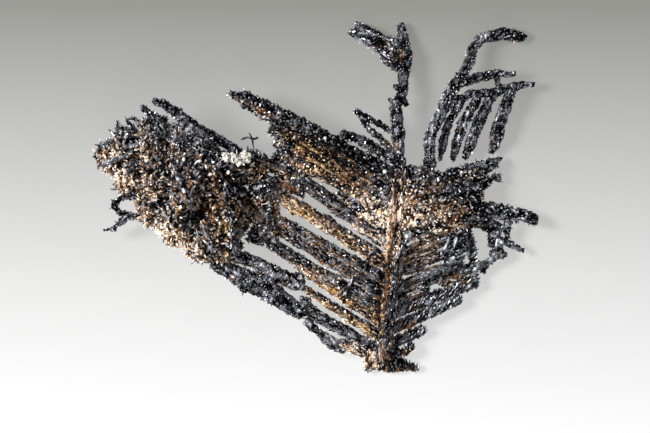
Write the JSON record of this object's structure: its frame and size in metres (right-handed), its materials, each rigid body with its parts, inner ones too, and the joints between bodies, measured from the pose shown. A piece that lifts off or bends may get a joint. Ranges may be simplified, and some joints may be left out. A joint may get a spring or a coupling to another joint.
{
  "type": "native silver specimen",
  "caption": "Herringbone fan of native silver: crystal ribs on a central stem, with a clump of curled silver leaves at one end, lying flat.",
  "frame": {"origin": "under the middle of the overall box, on the surface it lies on", "axes": "+X along the fan, from the leaf clump to the hooked branches; +Y up the central stem, from its foot to the tall branch; +Z out of the side that faces up"},
  "size_m": [0.0712, 0.0564, 0.0152],
  "materials": {
    "silver_tarnished": "dark grey to black tarnish on granular crystals, with bright facets",
    "silver_rusty": "brown and rust-stained crystals with pale sparkles",
    "silver_golden": "golden-grey crystals, half tarnished",
    "silver_bright": "bright cream-white leaves over darker ones",
    "calcite": "small white grains"
  },
  "bodies": {
    "root": {"leaf_clump": "silver_bright", "central_stem": "silver_bright", "upper_blade": "silver_rusty", "right_wing": "silver_rusty", "left_rib_1": "silver_golden", "left_rib_2": "silver_tarnished", "left_rib_3": "silver_golden", "left_rib_4": "silver_golden", "left_rib_5": "silver_tarnished", "left_rib_6": "silver_tarnished", "left_rib_7": "silver_tarnished", "left_rib_8": "silver_golden", "left_rib_9": "silver_tarnished", "right_lattice": "silver_tarnished", "right_rib_1": "silver_tarnished", "right_rib_2": "silver_tarnished", "right_rib_3": "silver_tarnished", "right_rib_4": "silver_tarnished", "right_rib_5": "silver_tarnished", "tall_branch": "silver_tarnished", "branch_head": "silver_tarnished", "top_rib": "silver_tarnished", "forked_twig": "silver_tarnished", "fern_stem": "silver_tarnished", "fern_hook": "silver_tarnished", "fern_comb": "silver_tarnished", "fern_side_branch": "silver_tarnished", "right_hook_branch": "silver_tarnished", "right_edge_blades": "silver_tarnished", "middle_crust": "silver_tarnished", "lower_crust": "silver_tarnished", "left_rail": "silver_tarnished", "clump_rod_long": "silver_tarnished", "clump_rod_short": "silver_tarnished", "side_twig": "silver_tarnished", "calcite_patch": "calcite"}
  },
  "joints": []
}
